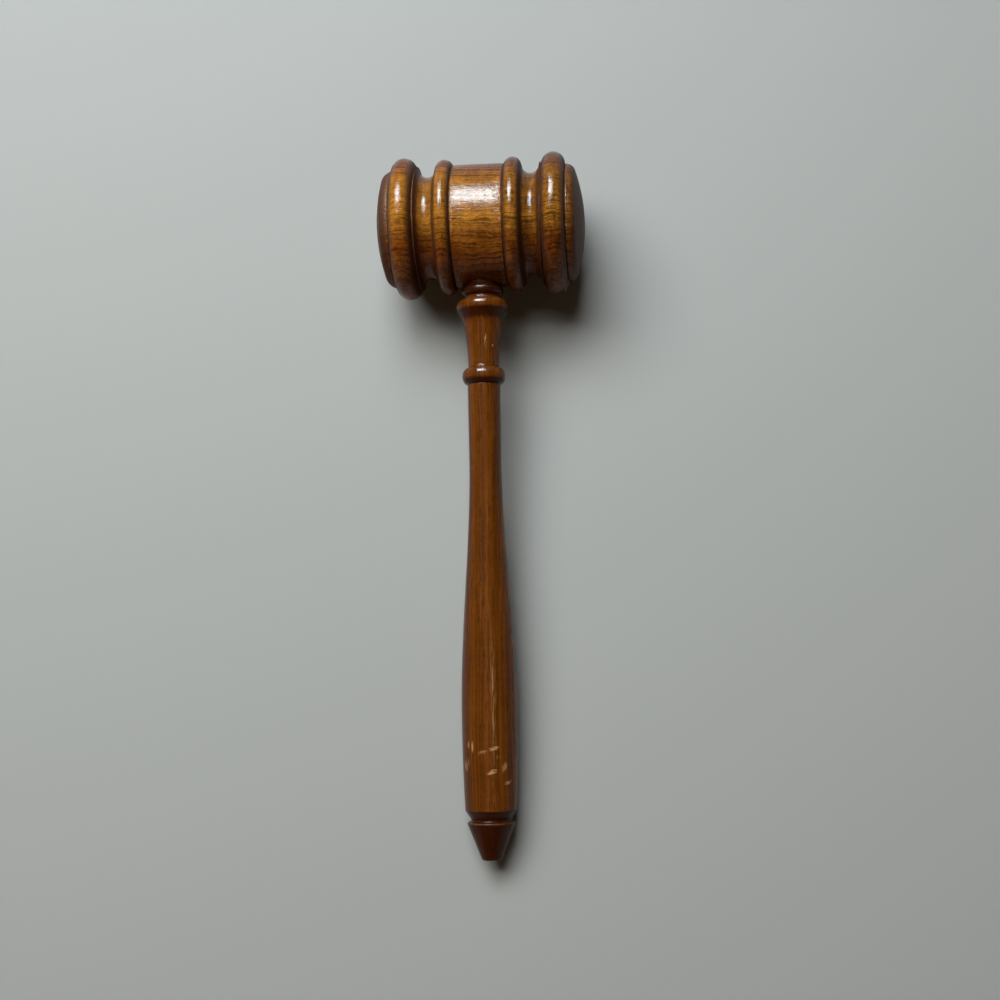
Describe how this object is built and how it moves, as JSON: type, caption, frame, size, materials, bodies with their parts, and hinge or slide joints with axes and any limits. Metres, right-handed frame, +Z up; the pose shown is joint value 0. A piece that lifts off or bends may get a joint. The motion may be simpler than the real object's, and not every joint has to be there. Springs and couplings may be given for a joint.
{
  "type": "gavel",
  "caption": "Turned wooden gavel: a beaded barrel head with domed ends on a slender handle with a collar, a ring bead, a swelling grip and a conical tip.",
  "frame": {"origin": "on the table under the middle of the gavel's box, as it lies on the two large beads of its head and on its grip", "axes": "+X along the axis of the head, +Y from the tip of the handle to the head, +Z up from the table"},
  "size_m": [0.0796, 0.2654, 0.054],
  "materials": {
    "head_wood": "gloss lacquer over golden brown figured wood",
    "handle_wood": "satin gloss lacquer over straight grained brown wood"
  },
  "bodies": {
    "root": {"head": "head_wood", "handle": "handle_wood"}
  },
  "joints": []
}
